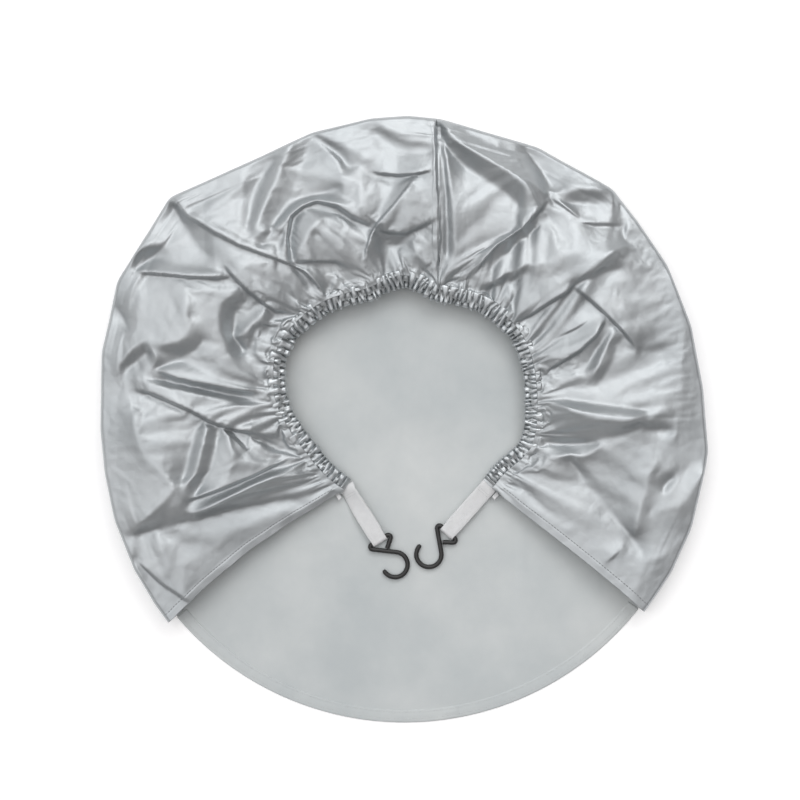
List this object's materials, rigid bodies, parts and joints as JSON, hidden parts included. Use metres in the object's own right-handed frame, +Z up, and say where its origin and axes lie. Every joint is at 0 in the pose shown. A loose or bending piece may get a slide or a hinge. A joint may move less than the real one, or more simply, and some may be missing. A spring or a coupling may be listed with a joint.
{
  "type": "soft spare tire cover",
  "caption": "Round soft spare tire cover: flat front panel with a gathered silver skirt, an elastic mouth, and a wire hook on an elastic strap at either side of its gap.",
  "frame": {"origin": "middle of the whole cover's plan, on the surface that the front panel lies on", "axes": "+Z up, out of the panel's inner face; +Y from the gap in the skirt to the skirt's middle; +X to the right as seen from above"},
  "size_m": [0.7209, 0.723, 0.052],
  "materials": {
    "lining_cloth": "matte pale grey back of a coated cloth",
    "silver_cloth": "silver coated woven cloth with a soft metallic sheen",
    "white_elastic": "white woven elastic",
    "coated_wire": "black dipped coating on steel wire"
  },
  "bodies": {
    "cover": {"front_panel": "lining_cloth", "bottom_binding": "lining_cloth", "skirt_left": "silver_cloth", "skirt_right": "silver_cloth", "elastic_casing": "silver_cloth", "elastic_band": "white_elastic"},
    "left_strap": {"left_strap": "white_elastic"},
    "left_hook": {"left_hook": "coated_wire"},
    "right_strap": {"right_strap": "white_elastic"},
    "right_hook": {"right_hook": "coated_wire"}
  },
  "joints": [
    {"name": "left_strap_lift", "type": "hinge", "parent": "cover", "child": "left_strap", "pos_m": [-0.06582, -0.08663, 0.008], "axis": [-0.852, -0.5235, 0], "range_deg": [0, 90]},
    {"name": "left_hook_swing", "type": "hinge", "parent": "left_strap", "child": "left_hook", "pos_m": [-0.03025, -0.14452, 0.0052], "axis": [-0.852, -0.5235, 0], "range_deg": [0, 100]},
    {"name": "right_strap_lift", "type": "hinge", "parent": "cover", "child": "right_strap", "pos_m": [0.09692, -0.0842, 0.008], "axis": [-0.7467, 0.6652, 0], "range_deg": [0, 90]},
    {"name": "right_hook_swing", "type": "hinge", "parent": "right_strap", "child": "right_hook", "pos_m": [0.05173, -0.13493, 0.0052], "axis": [-0.7467, 0.6652, 0], "range_deg": [0, 100]}
  ]
}
